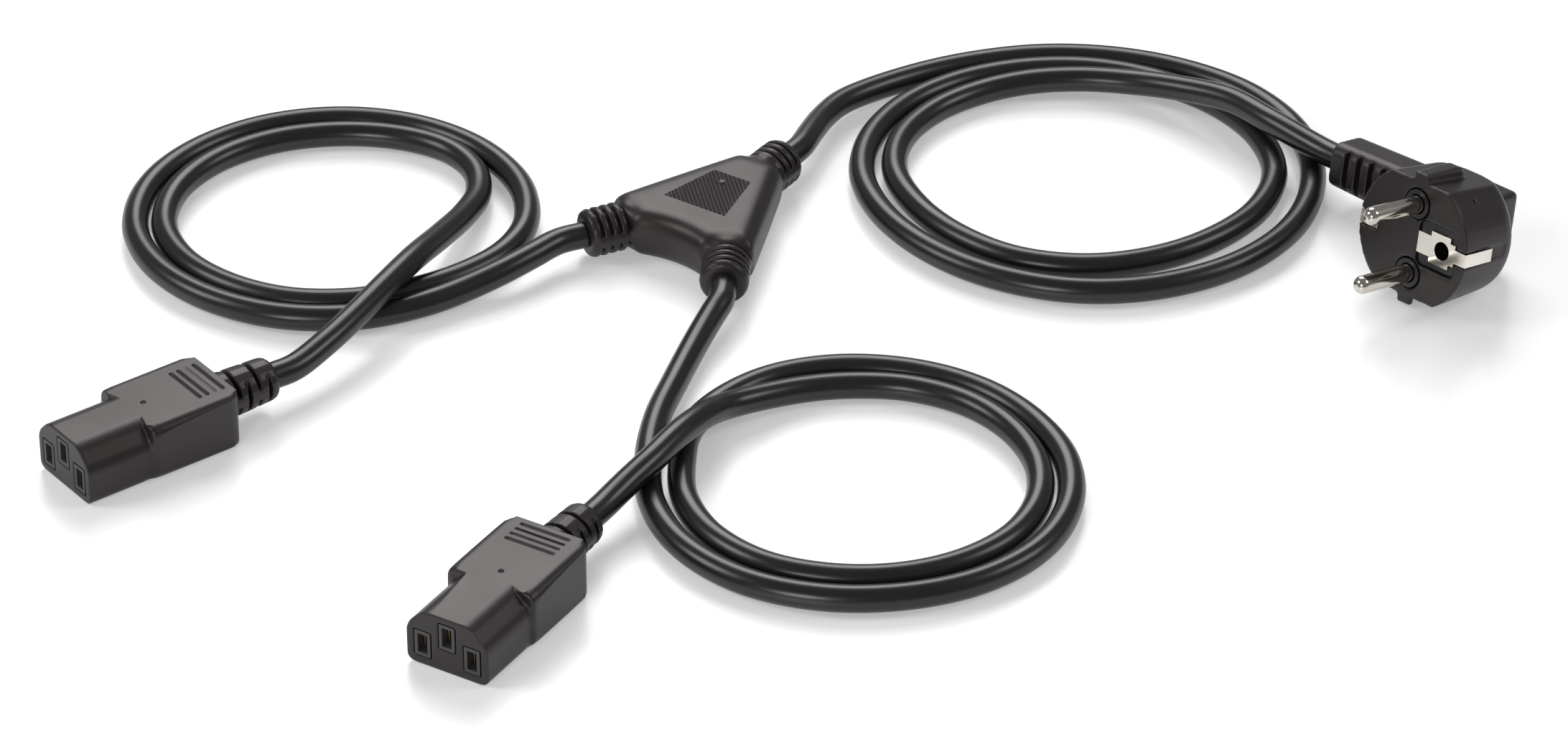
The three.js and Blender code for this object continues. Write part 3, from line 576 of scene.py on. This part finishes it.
def makeCord(name, node, values, ends):
    (start, startOut), (finish, finishOut) = ends
    mx, my = values["middle"]
    points = [start, start + startOut * cordValues["straight"]]
    points += [Vector(p) for p in values["before"]]
    points += [Vector((mx + r * math.cos(math.radians(a)), my + r * math.sin(math.radians(a)), z))
               for a, r, z in values["turns"]]
    points += [Vector(p) for p in values["after"]]
    points += [finish + finishOut * cordValues["straight"], finish]
    route = [p * mm for p in smoothRoute(points, cordValues["step"])]
    curve = bpy.data.curves.new(name, "CURVE")
    curve.dimensions = "3D"
    curve.bevel_depth = cordValues["diameter"] / 2 * mm
    curve.bevel_resolution = cordValues["roundness"]
    curve.use_fill_caps = True
    spline = curve.splines.new("POLY")
    spline.points.add(len(route) - 1)
    for point, place in zip(spline.points, route):
        point.co = (*place, 1)
    spline.use_smooth = True
    piece = bpy.data.objects.new(name, curve)
    bpy.context.scene.collection.objects.link(piece)
    curve.materials.append(finishes["cord"])
    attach(piece, "root")
    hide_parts(node)
    return piece


(trunkAngle, _), (upperAngle, _), (lowerAngle, _) = junctionValues["necks"]
meeting = junctionValues["meeting"]
branchReach = junctionValues["branchReach"]
makeCord("cordToConnectorA", "cord_a", cordA,
         (levelEnd(meeting, upperAngle, branchReach), connectorEnd("a")))
makeCord("cordToConnectorB", "cord_b", cordB,
         (levelEnd(meeting, lowerAngle, branchReach), connectorEnd("b")))
makeCord("cordToPlug", "cord_plug", cordPlug,
         (levelEnd(meeting, trunkAngle, junctionValues["trunkReach"]), plugEnd(plugValues)))
print("cords made")


# White glossy floor
floorValues = {"size": 8.0, "drop": 0.2, "colour": (0.86, 0.86, 0.87), "roughness": 0.28,
               "cameraGlow": 0.32}


def makeFloor(values):
    shape = bmesh.new()
    bmesh.ops.create_grid(shape, x_segments=1, y_segments=1, size=values["size"] / 2)
    bmesh.ops.translate(shape, verts=shape.verts, vec=(0, 0, -values["drop"] * mm))
    mesh = bpy.data.meshes.new("studioFloor")
    shape.to_mesh(mesh)
    shape.free()
    floor = bpy.data.objects.new("studioFloor", mesh)
    bpy.context.scene.collection.objects.link(floor)
    material, nodes, links, shader = newMaterial("whiteFloor")
    shader.inputs["Base Color"].default_value = (*values["colour"], 1)
    shader.inputs["Roughness"].default_value = values["roughness"]
    rays = addNode(nodes, "ShaderNodeLightPath")
    glow = addNode(nodes, "ShaderNodeMath", operation="MULTIPLY")
    glow.inputs[1].default_value = values["cameraGlow"]
    seen = addNode(nodes, "ShaderNodeMath", operation="MAXIMUM")
    links.new(rays.outputs["Is Camera Ray"], seen.inputs[0])
    links.new(rays.outputs["Is Glossy Ray"], seen.inputs[1])
    links.new(seen.outputs[0], glow.inputs[0])
    shader.inputs["Emission Color"].default_value = (1, 1, 1, 1)
    links.new(glow.outputs[0], shader.inputs["Emission Strength"])
    floor.data.materials.append(material)


makeFloor(floorValues)

# Soft studio light: a broad lamp over the far side, one on either hand, and a pale room
lampValues = {
    "farTop": {"place": (0.95, 0.72, 1.2), "size": 1.1, "power": 14.0},
    "leftHand": {"place": (-0.9, 1.0, 1.0), "size": 0.7, "power": 7.0},
    "rightHand": {"place": (0.7, -1.2, 1.1), "size": 0.7, "power": 5.0},
    "nearFront": {"place": (-1.5, -0.3, 0.55), "size": 0.5, "power": 5.0},
}
roomStrength = 0.22


def placeLamp(name, values):
    data = bpy.data.lights.new(name, "AREA")
    data.shape = "DISK"
    data.size = values["size"]
    data.energy = values["power"]
    lamp = bpy.data.objects.new(name, data)
    lamp.location = values["place"]
    lamp.rotation_euler = (-Vector(values["place"])).to_track_quat("-Z", "Y").to_euler()
    bpy.context.scene.collection.objects.link(lamp)


def lightRoom(strength):
    world = bpy.data.worlds.new("paleRoom")
    world.use_nodes = True
    nodes, links = world.node_tree.nodes, world.node_tree.links
    rays = addNode(nodes, "ShaderNodeLightPath")
    level = addNode(nodes, "ShaderNodeMapRange")
    level.inputs["To Min"].default_value = strength
    level.inputs["To Max"].default_value = 1.0
    links.new(rays.outputs["Is Camera Ray"], level.inputs["Value"])
    nodes["Background"].inputs["Color"].default_value = (1, 1, 1, 1)
    links.new(level.outputs["Result"], nodes["Background"].inputs["Strength"])
    bpy.context.scene.world = world


for lampName, lamp in lampValues.items():
    placeLamp(lampName, lamp)
lightRoom(roomStrength)
print("stage lit")
